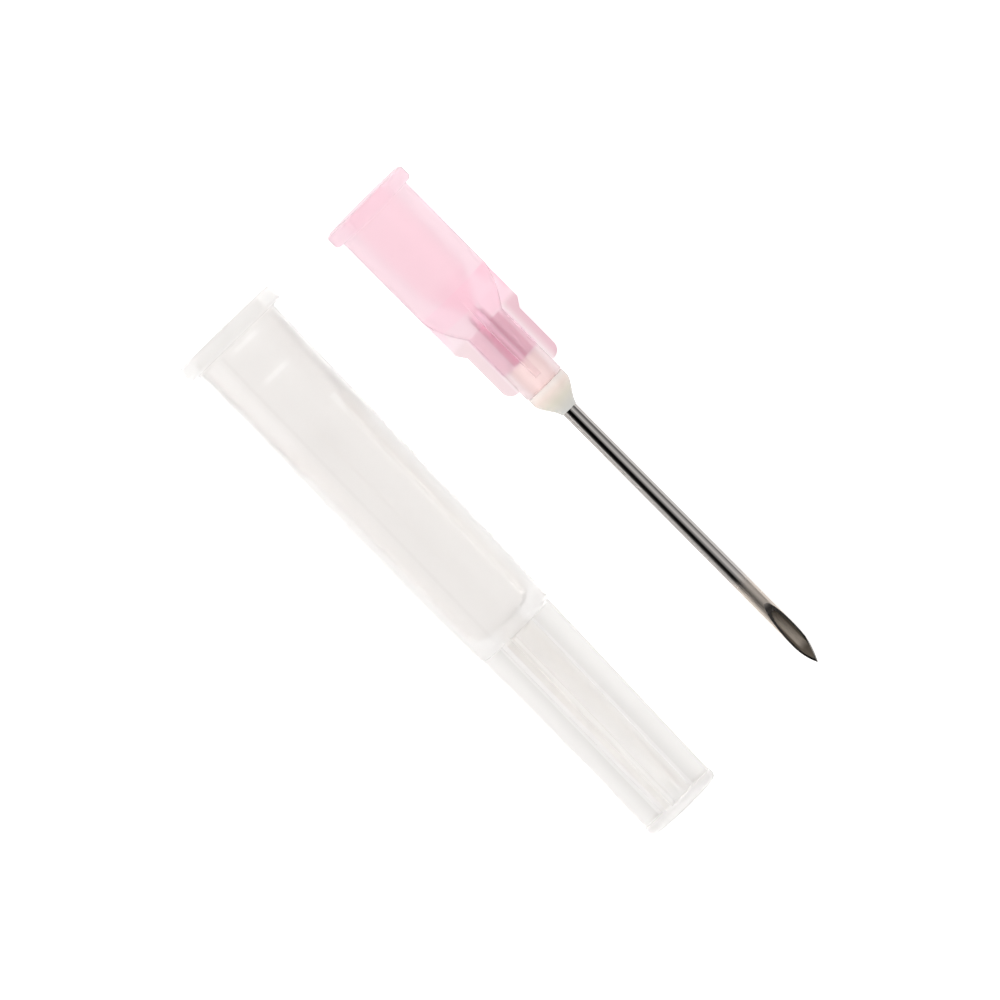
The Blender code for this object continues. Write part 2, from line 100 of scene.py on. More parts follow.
@dataclass(frozen=True)
class Pose:
    """Where a piece's own axis lies in the world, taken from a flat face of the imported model."""

    origin: Vector
    tilt: float
    yaw: float

    @classmethod
    def from_face(
        cls, record: dict, mount: str, radius: float, angle: float, roll: float
    ) -> "Pose":
        """Works out a pose from a flat face whose recorded point lies beside the axis.

        Args:
            record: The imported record.
            mount: Name of the flat face, which looks back along the axis.
            radius: Distance of the recorded point from the axis, in millimetres.
            angle: Direction of that point about the axis, in radians.
            roll: How far the piece is turned about the axis, in radians.

        Returns:
            The pose of the axis, with its origin in the face.
        """
        face = next(entry for entry in record["mounts"] if entry["name"] == mount)
        forward = -Vector(face["axis"]).normalized()
        tilt = math.asin(-forward.z)
        yaw = math.atan2(forward.y, forward.x)
        beside = Vector((radius * MM * math.cos(angle), radius * MM * math.sin(angle), 0.0))
        turn = cls(Vector(), tilt, yaw).rotation() @ Matrix.Rotation(roll, 3, "Z")
        return cls(Vector(face["pos_m"]) - turn @ beside, tilt, yaw)

    def rotation(self) -> Matrix:
        """Returns the turn from an upright piece to the lying one."""
        along_x = Euler((math.pi / 2, 0.0, math.pi / 2)).to_matrix()
        return Euler((0.0, self.tilt, self.yaw)).to_matrix() @ along_x

    def matrix(self, roll: float) -> Matrix:
        """Returns the matrix that lays down a piece drawn upright in millimetres.

        Args:
            roll: How far the piece is turned about its own axis, in radians.

        Returns:
            The matrix.
        """
        turn = (self.rotation() @ Matrix.Rotation(roll, 3, "Z")).to_4x4()
        return Matrix.Translation(self.origin) @ turn @ Matrix.Scale(MM, 4)


def curve(steps: int, at: Callable[[float], Point]) -> list[Point]:
    """Lists the points of a curve that is given as a function of the share from 0 to 1."""
    return [at(step / steps) for step in range(steps + 1)]


def arc(centre: Point, size: float, start: float, end: float, steps: int = 8) -> list[Point]:
    """Draws a round corner in a section.

    Args:
        centre: Radius and height of the corner's centre.
        size: Radius of the corner.
        start: Direction of its first point, in degrees.
        end: Direction of its last point, in degrees.
        steps: Number of straight pieces.

    Returns:
        Points of (radius, height).
    """
    points = []
    for step in range(steps + 1):
        angle = math.radians(start + (end - start) * step / steps)
        points.append((centre[0] + size * math.cos(angle), centre[1] + size * math.sin(angle)))
    return points


def deselect_objects() -> None:
    """Leaves nothing selected in object mode."""
    if bpy.context.mode != "OBJECT":
        bpy.ops.object.mode_set(mode="OBJECT")
    bpy.ops.object.select_all(action="DESELECT")


def make_active(piece: Object) -> None:
    """Selects one object alone and makes it the active one."""
    deselect_objects()
    piece.select_set(True)
    bpy.context.view_layer.objects.active = piece


class Turning:
    """A turned shape, made by extruding a circle along a section."""

    def __init__(self, name: str, start: Point, segments: int) -> None:
        """Adds the first circle.

        Args:
            name: Name of the piece.
            start: Radius and height of the first circle.
            segments: Number of points round it.
        """
        deselect_objects()
        bpy.ops.mesh.primitive_circle_add(vertices=segments, radius=start[0])
        self.piece = bpy.context.object
        self.piece.name = name
        self.piece.data.name = name
        self.start = start
        self.at = start
        bpy.ops.object.mode_set(mode="EDIT")
        bpy.ops.mesh.select_mode(type="EDGE")
        bpy.ops.mesh.select_all(action="SELECT")
        bpy.ops.transform.translate(value=(0.0, 0.0, start[1]))

    def through(self, points: list[Point]) -> None:
        """Extrudes the open circle along a line.

        Args:
            points: Radius and height of each further circle.
        """
        for radius, height in points:
            move = (0.0, 0.0, height - self.at[1])
            bpy.ops.mesh.extrude_edges_move(TRANSFORM_OT_translate={"value": move})
            share = radius / self.at[0]
            centre = (0.0, 0.0, height)
            bpy.ops.transform.resize(value=(share, share, 1.0), center_override=centre)
            self.at = (radius, height)

    def cap(self) -> None:
        """Draws the open circle together to one point on the axis."""
        bpy.ops.mesh.merge(type="CENTER")

    def restart(self) -> None:
        """Selects the first circle again, to go on from it in another direction."""
        select_edges(self.piece, lambda edge: edge.is_boundary)
        self.at = self.start

    def finish(self) -> Object:
        """Closes the shape where its ends meet.

        Returns:
            The piece.
        """
        bpy.ops.mesh.select_mode(type="VERT")
        bpy.ops.mesh.select_all(action="SELECT")
        bpy.ops.mesh.remove_doubles(threshold=MERGE_DISTANCE)
        bpy.ops.mesh.normals_make_consistent(inside=False)
        bpy.ops.object.mode_set(mode="OBJECT")
        return self.piece


def select_edges(piece: Object, wanted: Callable[[bmesh.types.BMEdge], bool]) -> None:
    """Selects some edges of a piece in edit mode.

    Args:
        piece: The piece.
        wanted: Tells whether an edge is one of them.
    """
    bpy.ops.mesh.select_mode(type="EDGE")
    bpy.ops.mesh.select_all(action="DESELECT")
    shape = bmesh.from_edit_mesh(piece.data)
    for edge in shape.edges:
        edge.select_set(wanted(edge))
    bmesh.update_edit_mesh(piece.data)


def quarter_turns(plate: Object, number: int) -> None:
    """Turns a plate about the axis by a number of quarter turns."""
    plate.rotation_euler.z = math.pi / 2 * number
    bpy.ops.object.transform_apply(location=False, rotation=True, scale=False)


def fin_plate(name: str, stations: list[Station], thickness: float, number: int) -> Object:
    """Models a flat fin that stands beside the axis.

    Args:
        name: Name of the plate.
        stations: Height, inner radius and outer radius, from its rear end to its front end.
        thickness: Thickness of the plate.
        number: How many quarter turns the fin stands about the axis.

    Returns:
        The plate.
    """
    deselect_objects()
    height, inner, outer = stations[0]
    bpy.ops.mesh.primitive_plane_add(size=1.0)
    plate = bpy.context.object
    plate.name = name
    bpy.ops.object.mode_set(mode="EDIT")
    bpy.ops.mesh.select_all(action="SELECT")
    bpy.ops.transform.resize(value=(outer - inner, thickness, 1.0), center_override=(0, 0, 0))
    bpy.ops.transform.translate(value=((outer + inner) / 2, 0.0, height))
    for next_height, next_inner, next_outer in stations[1:]:
        move = ((next_outer + next_inner - outer - inner) / 2, 0.0, next_height - height)
        bpy.ops.mesh.extrude_region_move(TRANSFORM_OT_translate={"value": move})
        share = (next_outer - next_inner) / (outer - inner)
        centre = ((next_outer + next_inner) / 2, 0.0, next_height)
        bpy.ops.transform.resize(value=(share, 1.0, 1.0), center_override=centre)
        height, inner, outer = next_height, next_inner, next_outer
    bpy.ops.mesh.select_all(action="SELECT")
    bpy.ops.mesh.normals_make_consistent(inside=False)
    bpy.ops.object.mode_set(mode="OBJECT")
    quarter_turns(plate, number)
    return plate


def use_tool(piece: Object, tool: Object, join: Join) -> None:
    """Joins a tool to a piece or cuts it away, and removes the tool.

    Args:
        piece: The piece.
        tool: The tool.
        join: Which of the two is done.
    """
    make_active(piece)
    boolean = piece.modifiers.new(tool.name, "BOOLEAN")
    boolean.operation = join.value
    boolean.object = tool
    boolean.solver = "EXACT"
    bpy.ops.object.modifier_apply(modifier=boolean.name)
    bpy.data.objects.remove(tool, do_unlink=True)


def soften(piece: Object, width: float, angle: float, segments: int = 2) -> None:
    """Rounds the sharp edges of a piece.

    Args:
        piece: The piece.
        width: Width of the rounding.
        angle: Edges that turn by less than this, in degrees, are left.
        segments: Number of strips across the rounding.
    """
    make_active(piece)
    bevel = piece.modifiers.new("soft_edges", "BEVEL")
    bevel.width = width
    bevel.segments = segments
    bevel.limit_method = "ANGLE"
    bevel.angle_limit = math.radians(angle)
    bevel.use_clamp_overlap = True
    bpy.ops.object.modifier_apply(modifier=bevel.name)


def shade(piece: Object, angle: float) -> None:
    """Shades a piece smooth, apart from edges that turn by more than the angle in degrees."""
    make_active(piece)
    bpy.ops.object.shade_smooth_by_angle(angle=math.radians(angle))


class Tree:
    """A node tree, with the few kinds of node that the finishes and the studio share."""

    def __init__(self, tree: bpy.types.NodeTree) -> None:
        """Takes over a node tree."""
        self.tree = tree

    def fill(self, target: Socket, value: Value) -> None:
        """Gives an input socket its value.

        Args:
            target: The input socket.
            value: An output socket to link, a colour, or another value that the socket takes.
        """
        if isinstance(value, Socket):
            self.tree.links.new(value, target)
        elif target.type == "RGBA":
            target.default_value = (*value, 1.0)
        else:
            target.default_value = value

    def node(self, kind: str, sockets: Sockets | None = None, **settings: str) -> bpy.types.Node:
        """Adds a node.

        Args:
            kind: Type of the node.
            sockets: What its input sockets get, by their names or numbers.
            **settings: Its properties.

        Returns:
            The node.
        """
        made = self.tree.nodes.new(kind)
        for name, value in settings.items():
            setattr(made, name, value)
        for name, value in (sockets or {}).items():
            self.fill(made.inputs[name], value)
        return made

    def split(self, vector: Socket) -> bpy.types.NodeOutputs:
        """Takes a vector apart into its X, Y and Z sockets."""
        return self.node("ShaderNodeSeparateXYZ", {"Vector": vector}).outputs

    def range(self, value: Socket, old: Point, new: Point = SHARE, curve: str = "LINEAR") -> Socket:
        """Maps a number onto another range.

        Args:
            value: Socket that carries the number.
            old: The range that it has.
            new: The range that it gets.
            curve: How it runs between the ends.

        Returns:
            The socket that carries the result.
        """
        ends = {"From Min": old[0], "From Max": old[1], "To Min": new[0], "To Max": new[1]}
        made = self.node("ShaderNodeMapRange", {"Value": value, **ends}, interpolation_type=curve)
        return made.outputs["Result"]

    def math(self, operation: str, first: Value, second: Value) -> Socket:
        """Does a sum with two numbers."""
        made = self.node("ShaderNodeMath", {0: first, 1: second}, operation=operation)
        return made.outputs["Value"]

    def ramp(self, factor: Socket, stops: list[Stop], curve: str = "LINEAR") -> Socket:
        """Turns a number into a colour.

        Args:
            factor: Socket that carries the number.
            stops: Pairs of position, from 0 to 1, and colour.
            curve: How the colours run between the stops.

        Returns:
            The socket that carries the colour.
        """
        made = self.node("ShaderNodeValToRGB", {"Fac": factor})
        made.color_ramp.interpolation = curve
        elements = made.color_ramp.elements
        while len(elements) < len(stops):
            elements.new(0.5)
        for element, (position, colour) in zip(elements, stops):
            element.position = position
            element.color = (*colour, 1.0)
        return made.outputs["Color"]

    def choose(self, factor: Value, first: Socket, second: Socket) -> Socket:
        """Mixes two shaders by a factor."""
        return self.node("ShaderNodeMixShader", {0: factor, 1: first, 2: second}).outputs["Shader"]


class Nodes(Tree):
    """The node tree of a material, with its Principled shader."""

    def __init__(self, name: str) -> None:
        """Starts a material.

        Args:
            name: Name of the material.
        """
        self.material = bpy.data.materials.new(name)
        self.material.use_nodes = True
        super().__init__(self.material.node_tree)
        self.shader = self.tree.nodes["Principled BSDF"]
        self.output = self.tree.nodes["Material Output"]

    def set(self, **values: Value) -> None:
        """Fills sockets of the shader, named with underscores for spaces."""
        for name, value in values.items():
            self.fill(self.shader.inputs[name.replace("_", " ")], value)

    def own_place(self, pose: Pose, stretch: Station = (1.0, 1.0, 1.0)) -> Socket:
        """Gives the place on the piece in its own upright axes, in metres.

        Args:
            pose: The pose of the piece.
            stretch: Scale of the pattern along each of those axes.

        Returns:
            The socket that carries the place.
        """
        place = self.node("ShaderNodeTexCoord").outputs["Object"]
        turn = pose.rotation().to_euler()
        sockets = {"Vector": place, "Location": pose.origin, "Rotation": turn}
        upright = self.node("ShaderNodeMapping", sockets, vector_type="TEXTURE").outputs["Vector"]
        sockets = {"Vector": upright, "Scale": stretch}
        return self.node("ShaderNodeMapping", sockets, vector_type="POINT").outputs["Vector"]

    def noise(self, place: Socket, scale: float, detail: float = 3.0, rough: float = 0.5) -> Socket:
        """Makes the factor of a noise texture."""
        sockets = {"Vector": place, "Scale": scale, "Detail": detail, "Roughness": rough}
        return self.node("ShaderNodeTexNoise", sockets).outputs["Fac"]

    def spread(self, noise: Socket, end: Point) -> Socket:
        """Maps the range that a noise mostly fills onto another."""
        return self.range(noise, NOISE_RANGE, end)

    def mix(self, factor: Socket, first: Value, second: Value, kind: str = "RGBA") -> Socket:
        """Mixes two colours, or two numbers if the kind is FLOAT, by a factor."""
        sockets = {"Factor": factor, "A": first, "B": second}
        return self.node("ShaderNodeMix", sockets, data_type=kind).outputs["Result"]

    def band(self, value: Socket, edges: Point, rise: float, fall: float) -> Socket:
        """Makes the factor that is 1 between two edges, with all lengths in millimetres.

        Args:
            value: Socket that carries a length in metres.
            edges: Where the factor starts to rise, and where it has fallen to 0.
            rise: Width of its rise.
            fall: Width of its fall.

        Returns:
            The socket that carries the factor.
        """
        steps = []
        for edge, width in ((edges[0], rise), (edges[1], -fall)):
            ends = (edge * MM, (edge + width) * MM)
            steps.append(self.range(value, ends, curve="SMOOTHSTEP"))
        return self.math("MULTIPLY", *steps)

    def bump(self, height: Socket, relief: Point) -> None:
        """Raises the surface by a height, over a distance in metres and with a strength."""
        sockets = {"Height": height, "Distance": relief[0], "Strength": relief[1]}
        self.set(Normal=self.node("ShaderNodeBump", sockets).outputs["Normal"])

    def absorb(self, colour: Colour, density: float) -> None:
        """Fills the piece with a plastic that takes more light the thicker it is."""
        inside = self.node("ShaderNodeVolumeAbsorption", {"Color": colour, "Density": density})
        self.fill(self.output.inputs["Volume"], inside.outputs["Volume"])


@dataclass(frozen=True)
class Zone:
    """A part of a piece, in the piece's own axes, where the finish gets another colour: its own
    colour, painted shade or a painted highlight.

    It reaches along the axis, across it from one radius to another, and beside it along the own x.
    Its colour rises and falls along the axis, and from side to side, over soft widths.
    """

    colour: Colour
    along: Point
    across: Point = (-1.0, 9.0)
    beside: Point | None = None
    rise: float = 0.2
    fall: float = 0.2
    side: float = 0.1
    roughness: float | None = None
    refraction: float | None = None

    def share(self, nodes: Nodes, pose: Pose) -> Socket:
        """Makes the factor that is 1 in the zone.

        Args:
            nodes: The material's nodes.
            pose: The pose of the piece.

        Returns:
            The socket that carries the factor.
        """
        place = nodes.own_place(pose)
        side = (self.side, self.side)
        own = nodes.split(place)
        sockets = {0: place, 1: (1.0, 1.0, 0.0)}
        flat = nodes.node("ShaderNodeVectorMath", sockets, operation="MULTIPLY").outputs["Vector"]
        radius = nodes.node("ShaderNodeVectorMath", {0: flat}, operation="LENGTH").outputs["Value"]
        across = nodes.band(radius, self.across, *side)
        along = nodes.band(own["Z"], self.along, self.rise, self.fall)
        share = nodes.math("MULTIPLY", across, along)
        if self.beside:
            share = nodes.math("MULTIPLY", share, nodes.band(own["X"], self.beside, *side))
        return share


@dataclass(frozen=True)
class PlasticFinish:
    """Translucent moulded polypropylene."""

    name: str
    skin: Colour
    skin_thick: Colour
    zones: tuple[Zone, ...]
    body: Colour
    density: float
    clearness: float
    gloss: Point
    refraction: float
    polish: float
    polish_blur: float = 0.12
    stretch: Station = (1.0, 1.0, 0.35)
    cloud_scale: float = 420.0
    flow_scale: float = 2600.0
    relief: Point = (0.00002, 0.25)

    def material(self, pose: Pose) -> bpy.types.Material:
        """Makes the material.

        Args:
            pose: The pose of the piece.

        Returns:
            The material.
        """
        nodes = Nodes(self.name)
        place = nodes.own_place(pose, self.stretch)
        cloud = nodes.noise(place, self.cloud_scale)
        flow = nodes.noise(place, self.flow_scale, detail=4.0, rough=0.6)
        colour = nodes.mix(cloud, self.skin, self.skin_thick)
        refraction = self.refraction
        for zone in self.zones:
            share = zone.share(nodes, pose)
            colour = nodes.mix(share, colour, zone.colour)
            if zone.refraction:
                refraction = nodes.range(share, SHARE, (self.refraction, zone.refraction))
        nodes.set(Base_Color=colour, Roughness=nodes.spread(flow, self.gloss), IOR=refraction)
        nodes.bump(flow, self.relief)
        nodes.set(Transmission_Weight=self.clearness)
        nodes.set(Coat_Weight=self.polish, Coat_Roughness=self.polish_blur)
        nodes.absorb(self.body, self.density)
        return nodes.material


@dataclass(frozen=True)
class SteelFinish:
    """Drawn and polished stainless steel, with fine streaks along the tube."""

    name: str
    bright: Colour
    dull: Colour
    roughness: Point
    streaks: Station
    zones: tuple[Zone, ...]
    metal: float = 1.0
    streak_scale: float = 9000.0
    relief: Point = (0.000004, 0.3)

    def material(self, pose: Pose) -> bpy.types.Material:
        """Makes the material.

        Args:
            pose: The pose of the piece.

        Returns:
            The material.
        """
        nodes = Nodes(self.name)
        place = nodes.own_place(pose, self.streaks)
        streak = nodes.noise(place, self.streak_scale, detail=4.0, rough=0.65)
        colour = nodes.mix(streak, self.bright, self.dull)
        rough = nodes.spread(streak, self.roughness)
        for zone in self.zones:
            share = zone.share(nodes, pose)
            colour = nodes.mix(share, colour, zone.colour)
            if zone.roughness is not None:
                rough = nodes.mix(share, rough, zone.roughness, "FLOAT")
        nodes.set(Base_Color=colour, Roughness=rough, Metallic=self.metal)
        nodes.bump(streak, self.relief)
        return nodes.material


@dataclass(frozen=True)
class AdhesiveFinish:
    """Cured adhesive: pale where it is deep, darker towards its thin end, partly where the steel
    shows through it and partly painted shade.
    """

    name: str
    stops: tuple[Stop, ...]
    clearness: float
    gloss: Point = (0.12, 0.25)
    refraction: float = 1.54
    cloud_scale: float = 900.0
    relief: Point = (0.00003, 0.3)

    def material(self, pose: Pose) -> bpy.types.Material:
        """Makes the material.

        Args:
            pose: The pose of the piece.

        Returns:
            The material.
        """
        nodes = Nodes(self.name)
        place = nodes.own_place(pose)
        cloud = nodes.noise(place, self.cloud_scale, detail=5.0, rough=0.6)
        start, end = self.stops[0][0], self.stops[-1][0]
        along = nodes.range(nodes.split(place)["Z"], (start * MM, end * MM))
        stops = [((height - start) / (end - start), colour) for height, colour in self.stops]
        nodes.set(Base_Color=nodes.ramp(along, stops), Roughness=nodes.spread(cloud, self.gloss))
        nodes.bump(cloud, self.relief)
        nodes.set(Transmission_Weight=self.clearness, IOR=self.refraction)
        return nodes.material


Finishes = tuple[PlasticFinish | SteelFinish | AdhesiveFinish, ...]

HUB_PLASTIC = PlasticFinish(
    name="hub_plastic",
    skin=(0.985, 0.855, 0.89),
    skin_thick=(0.98, 0.84, 0.875),
    zones=(
        Zone((0.985, 0.83, 0.875), (-1.0, 1.2)),
        Zone((0.985, 0.85, 0.885), (9.3, 13.2), fall=0.7),
        Zone((1.0, 0.79, 0.86), (12.5, 16.65), (-1.0, 1.9), rise=0.7, refraction=1.42),
        Zone((1.0, 0.8, 0.86), (9.3, 12.6), (2.7, 4.0), fall=1.2),
        # Painted shade: deeper pink on the shoulder's side away from the key lamp.
        Zone((1.0, 0.76, 0.83), (10.8, 12.9), (-1.0, 3.3), (0.4, 4.0), 0.6, 0.4, 0.5),
        # Painted shade: the rear fins darker on the side away from the key lamp.
        Zone((1.0, 0.62, 0.72), (9.3, 12.6), (2.7, 4.0), (1.7, 4.0), fall=0.8, side=0.8),
        Zone((0.92, 0.77, 0.79), (12.4, 18.4), (1.9, 4.0), rise=0.6),
        # Painted shade: the fins beside the core darker on the side away from the key lamp.
        Zone((0.85, 0.6, 0.66), (12.4, 18.4), (1.9, 4.0), (1.0, 4.0), 0.6, side=0.5),
        Zone((0.96, 0.86, 0.86), (16.65, 20.0), (-1.0, 1.9)),
        # Painted shade: dark band over the steel seen through the core.
        Zone((0.85, 0.53, 0.62), (12.0, 16.65), (-1.0, 1.9), (0.3, 1.45), 0.7, side=0.2),
        # Painted shade: weaker dark band over the other half of the steel seen through the core.
        Zone((0.93, 0.65, 0.73), (12.0, 16.65), (-1.0, 1.9), (-0.75, 0.04), 0.7),
        # Painted highlight: pale line along the steel seen through the core.
        Zone((1.0, 0.88, 0.93), (11.6, 16.65), (-1.0, 1.9), (0.04, 0.34)),
    ),
    body=(0.9, 0.17, 0.45),
    density=20.0,
    clearness=0.97,
    gloss=(0.45, 0.53),
    refraction=1.16,
    polish=0.15,
)
SHEATH_PLASTIC = PlasticFinish(
    name="sheath_plastic",
    skin=(0.905, 0.892, 0.882),
    skin_thick=(0.895, 0.882, 0.871),
    zones=(
        Zone((0.885, 0.875, 0.865), (-1.0, 1.33)),
        # Painted shade: the tube darker along both long sides.
        Zone((0.86, 0.85, 0.84), (1.5, 29.7), beside=(2.9, 9.0), side=0.4),
        Zone((0.87, 0.86, 0.85), (1.5, 29.7), beside=(-9.0, -2.9), side=0.4),
        # Painted light: two lighter strips along the tube.
        Zone((0.97, 0.96, 0.95), (9.0, 29.7), beside=(2.0, 2.75), side=0.3),
        Zone((0.925, 0.912, 0.902), (1.5, 29.7), beside=(-3.3, -1.9), side=0.4),
        # Painted shade: the end wall of the tube darker.
        Zone((0.87, 0.855, 0.845), (29.9, 31.6), (1.7, 4.5), rise=0.6),
        Zone((0.875, 0.86, 0.845), (31.2, 48.6), (1.85, 4.5)),
        # Painted shade: darker near the core, between the vanes.
        Zone((0.75, 0.735, 0.72), (31.2, 48.6), (-1.0, 2.9), side=1.3),
        Zone((0.89, 0.875, 0.86), (31.2, 48.6), (-1.0, 1.85), refraction=1.03),
        Zone((0.91, 0.9, 0.89), (31.4, 48.6), (-1.0, 1.85), rise=14.0),
        # Painted shade: dark line along one edge of the core.
        Zone((0.81, 0.795, 0.785), (31.4, 48.4), (-1.0, 1.85), (1.35, 2.5), side=0.2),
        # Painted shade: darker strip along the other side of the core.
        Zone((0.85, 0.835, 0.825), (31.4, 48.4), (-1.0, 1.85), (-2.5, -0.9), side=0.3),
        # Painted highlight: pale strip along the core.
        Zone((1.0, 0.99, 0.98), (31.4, 48.4), (-1.0, 1.3), (0.6, 1.2), side=0.15),
        # Painted shade: dark line along the vanes on one side of the core.
        Zone((0.72, 0.705, 0.69), (31.4, 48.4), (1.85, 4.5), (-1.5, -0.55), side=0.2),
        # Painted highlight: pale line beside it, on the vane's edge.
        Zone((0.98, 0.97, 0.96), (31.4, 48.4), (1.85, 4.5), (-0.55, -0.2), side=0.1),
        # Painted shade: the closed end disc darker.
        Zone((0.78, 0.765, 0.755), (48.5, 50.0)),
        # Painted highlights: two bright bars across the mouth, at the flange's foot and at the
        # bore's step.
        Zone((0.97, 0.96, 0.95), (1.65, 2.2), beside=(-1.1, 2.1), side=0.9),
        Zone((0.97, 0.96, 0.95), (4.8, 5.4), beside=(-1.1, 2.1), side=0.9),
        # Painted reflection: dark line along the tube.
        Zone((0.86, 0.845, 0.835), (1.5, 31.0), beside=(-1.8, -1.45)),
    ),
    body=(0.6, 0.55, 0.5),
    density=2.0,
    clearness=0.92,
    gloss=(0.7, 0.85),
    refraction=1.06,
    polish=0.12,
)
TUBE_STEEL = SteelFinish(
    name="tube_steel",
    bright=(0.6, 0.57, 0.55),
    dull=(0.5, 0.475, 0.455),
    roughness=(0.04, 0.09),
    streaks=(1.0, 1.0, 0.02),
    zones=(
        Zone((0.85, 0.76, 0.68), (39.0, 50.0), rise=1.8, roughness=0.4),
        # Painted shade: the steel inside the hub darkened and tinted pink; its roughness is raised
        # there.
        Zone((0.68, 0.58, 0.63), (10.0, 16.7), roughness=0.5),
        # Painted highlight: pale line along the steel inside the hub.
        Zone((1.0, 0.97, 1.0), (10.0, 16.7), beside=(0.04, 0.32)),
    ),
)
GROUND_STEEL = SteelFinish(
    name="ground_steel",
    bright=(0.42, 0.38, 0.35),
    dull=(0.31, 0.28, 0.26),
    roughness=(0.16, 0.26),
    streaks=(0.15, 1.0, 1.0),
    # Painted shade: the ground facets darker towards the point.
    zones=(Zone((0.26, 0.245, 0.225), (45.4, 50.0), rise=0.5),),
)
BORE_STEEL = SteelFinish(
    name="bore_steel",
    bright=(0.72, 0.63, 0.54),
    dull=(0.54, 0.47, 0.4),
    roughness=(0.5, 0.65),
    streaks=(1.0, 1.0, 0.05),
    zones=(
        # Painted shade: the bore darker along both rims of the opening, deep in the tube behind the
        # heel, and near the point.
        Zone((0.2, 0.165, 0.13), (10.0, 50.0), beside=(0.24, 0.6), side=0.14),
        Zone((0.2, 0.165, 0.13), (10.0, 50.0), beside=(-0.6, -0.24), side=0.14),
        Zone((0.16, 0.13, 0.1), (10.0, 43.3), fall=0.7),
        Zone((0.2, 0.165, 0.13), (46.1, 50.0), rise=0.9),
    ),
    metal=0.75,
)
CURED_ADHESIVE = AdhesiveFinish(
    name="cured_adhesive",
    # Darker towards the bead's thin end: partly the steel showing through, partly painted shade.
    stops=(
        (18.8, (0.98, 0.96, 0.93)),
        (19.8, (0.97, 0.82, 0.75)),
        (20.6, (0.83, 0.78, 0.67)),
        (21.6, (0.72, 0.71, 0.68)),
    ),
    clearness=0.1,
)


@dataclass(frozen=True)
class Piece:
    """A physical piece, drawn upright in millimetres by the class of each one."""

    node: str = ""
    finishes: Finishes = ()
    roll: float = 0.0

    def dress(self, piece: Object, pose: Pose) -> None:
        """Lays the piece in the place of its node and gives it its finishes.

        Args:
            piece: The upright piece, which is left at the origin, unturned and unscaled.
            pose: Where its axis lies.
        """
        make_active(piece)
        piece.matrix_world = pose.matrix(self.roll)
        bpy.ops.object.transform_apply(location=True, rotation=True, scale=True)
        marks = [face.material_index for face in piece.data.polygons]
        piece.data.materials.clear()
        for finish in self.finishes:
            piece.data.materials.append(finish.material(pose))
        piece.data.polygons.foreach_set("material_index", marks)
        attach(piece, "root")
        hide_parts(self.node)
        log.info("%s: %d faces", piece.name, len(piece.data.polygons))


@dataclass(frozen=True)
class Cannula(Piece):
    """The steel tube with its three-facet point."""

    node: str = "cannula"
    finishes: Finishes = (TUBE_STEEL, GROUND_STEEL, BORE_STEEL)
    radius: float = 0.635
    bore: float = 0.47
    rear: float = 11.63
    point: float = 48.35
    first_angle: float = math.radians(11.3)
    overshoot: float = 0.3
    side_angle: float = math.radians(20.0)
    side_turn: float = math.radians(40.0)
    roll: float = math.radians(-12.0)
    rear_round: float = 0.05
    spare: float = 0.2
    block: float = 60.0
    facet_lean: float = 0.1
    ground: float = 9.0
    bore_lean: float = -0.5
    segments: int = 128

    def tube(self) -> Object:
        """Models the tube before it is ground, with slightly rounded rear edges.

        Returns:
            The tube.
        """
        front = self.point + self.overshoot + self.spare
        small = self.rear_round
        form = Turning("cannula_tube", (self.bore + small, self.rear), self.segments)
        form.through([(self.bore, self.rear + small), (self.bore, front), (self.radius, front)])
        form.through(arc((self.radius - small, self.rear + small), small, 0.0, -90.0, 4))
        form.through([(self.bore + small, self.rear)])
        return form.finish()

    def grind(self, tip: Vector, angle: float, turn: float) -> Object:
        """Models the block that one grind takes away.

        Args:
            tip: A point that the ground plane passes through.
            angle: Slope of the plane to the axis, in radians.
            turn: Turn of the plane about the axis, in radians.

        Returns:
            The block, with its lower face in the plane.
        """
        deselect_objects()
        bpy.ops.mesh.primitive_cube_add(size=self.block, location=(0.0, self.block / 2, 0.0))
        block = bpy.context.object
        block.name = "grind"
        bpy.ops.object.transform_apply(location=True, rotation=False, scale=False)
        slope = Matrix.Rotation(turn, 4, "Z") @ Matrix.Rotation(angle, 4, "X")
        block.matrix_world = Matrix.Translation(tip) @ slope
        bpy.ops.object.transform_apply(location=True, rotation=True, scale=False)
        return block

    def build(self) -> Object:
        """Models the ground cannula, with its ground facets marked for their own finish.

        Returns:
            The upright piece.
        """
        piece = self.tube()
        tip = Vector((0.0, -self.radius, self.point))
        first_tip = tip + Vector((0.0, 0.0, self.overshoot))
        use_tool(piece, self.grind(first_tip, self.first_angle, 0.0), Join.CUT)
        for side in (-1, 1):
            use_tool(piece, self.grind(tip, self.side_angle, side * self.side_turn), Join.CUT)
        soften(piece, width=0.008, angle=40.0, segments=1)
        shade(piece, angle=30.0)
        self.mark_faces(piece)
        return piece

    def mark_faces(self, piece: Object) -> None:
        """Gives the ground facets slot 1 and the bore slot 2.

        Args:
            piece: The upright piece.
        """
        for face in piece.data.polygons:
            outward = Vector((face.center.x, face.center.y, 0.0))
            lean = face.normal.dot(outward.normalized())
            at_point = face.center.z > self.point - self.ground
            if at_point and abs(face.normal.z) > self.facet_lean:
                face.material_index = 1
            elif lean < self.bore_lean:
                face.material_index = 2


